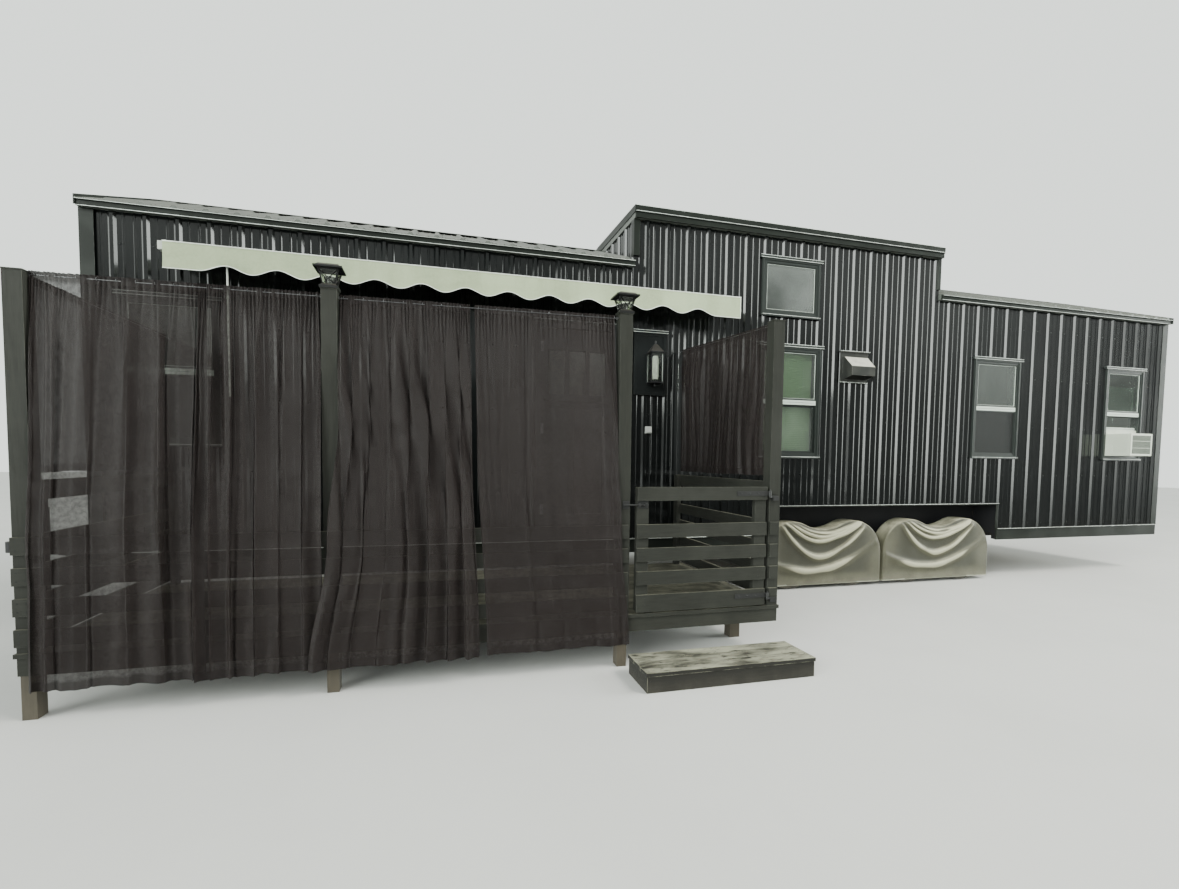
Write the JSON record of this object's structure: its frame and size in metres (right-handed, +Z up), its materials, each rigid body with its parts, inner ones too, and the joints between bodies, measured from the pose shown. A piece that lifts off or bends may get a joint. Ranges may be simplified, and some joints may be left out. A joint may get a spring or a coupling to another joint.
{
  "type": "tiny house on a trailer",
  "caption": "Long ribbed-metal tiny house on a multi-axle trailer, raised middle roof, with a curtained front deck, slatted railings, a hinged gate, a box step and a closed awning.",
  "frame": {"origin": "middle of the footprint's box, on the ground", "axes": "+X along the house from the tongue end to the far end, +Y from the deck side to the plain rear side, +Z up"},
  "size_m": [13.798, 4.848, 4.054],
  "materials": {
    "siding_metal": "satin black ribbed sheet",
    "roof_metal": "satin black ribbed sheet",
    "trim_metal": "satin folded trim",
    "wall_wood": "framed and sheathed, plain",
    "frame_plastic": "black window frames",
    "pane_glass": "clear",
    "blind_vinyl": "pale green slatted blind",
    "door_paint": "satin dark paint",
    "hood_metal": "weathered grey-green",
    "board_paint": "painted black",
    "cover_plastic": "light grey",
    "lantern_metal": "satin black",
    "lantern_pane": "clear",
    "ac_plastic": "off-white",
    "awning_metal": "off-white",
    "awning_cloth": "pale grey-green weave",
    "frame_steel": "black chassis paint",
    "rim_steel": "silver-grey paint",
    "tyre_rubber": "dusty black",
    "cover_cloth": "coated grey-green cloth",
    "deck_paint": "dark grey paint",
    "bare_timber": "unpainted",
    "step_paint": "worn dark paint",
    "post_lantern_plastic": "black",
    "wire_steel": "dark wire",
    "curtain_cloth": "sheer black",
    "gate_iron": "black"
  },
  "bodies": {
    "house": {"house_floor": "wall_wood", "front_wall": "wall_wood", "rear_wall": "wall_wood", "end_walls": "wall_wood", "front_siding": "siding_metal", "rear_siding": "siding_metal", "end_siding": "siding_metal", "left_roof": "roof_metal", "middle_roof": "roof_metal", "right_roof": "roof_metal", "raised_cheeks": "siding_metal", "roof_trim": "trim_metal", "eave_trim": "trim_metal", "corner_trim": "trim_metal", "base_trim": "trim_metal", "window_frames": "frame_plastic", "window_glass": "pane_glass", "window_blind": "blind_vinyl", "entry_door": "door_paint", "vent_hood": "hood_metal", "lantern_board": "board_paint", "outlet_cover": "cover_plastic", "wall_lantern": "lantern_metal", "lantern_glass": "lantern_pane", "air_conditioner": "ac_plastic", "awning_case": "awning_metal", "awning_valance": "awning_cloth", "frame_rails": "frame_steel", "cross_members": "frame_steel", "axles": "frame_steel", "springs": "frame_steel", "tongue": "frame_steel", "wheel_rims": "rim_steel", "tyres": "tyre_rubber", "wheel_boxes": "frame_steel", "tyre_covers": "cover_cloth", "deck_frame": "deck_paint", "deck_boards": "deck_paint", "deck_feet": "bare_timber", "deck_posts": "deck_paint", "front_railing": "deck_paint", "side_railings": "deck_paint", "box_step": "step_paint", "post_lanterns": "post_lantern_plastic", "curtain_wires": "wire_steel", "front_curtains": "curtain_cloth", "side_curtains": "curtain_cloth", "gate_fittings": "gate_iron"},
    "gate": {"gate": "deck_paint", "gate_straps": "gate_iron", "gate_bolt": "gate_iron"}
  },
  "joints": [
    {"name": "gate_hinge", "type": "hinge", "parent": "house", "child": "gate", "pos_m": [-0.444, -1.983, 0.8], "axis": [0, 0, 1], "range_deg": [0, 100]}
  ]
}
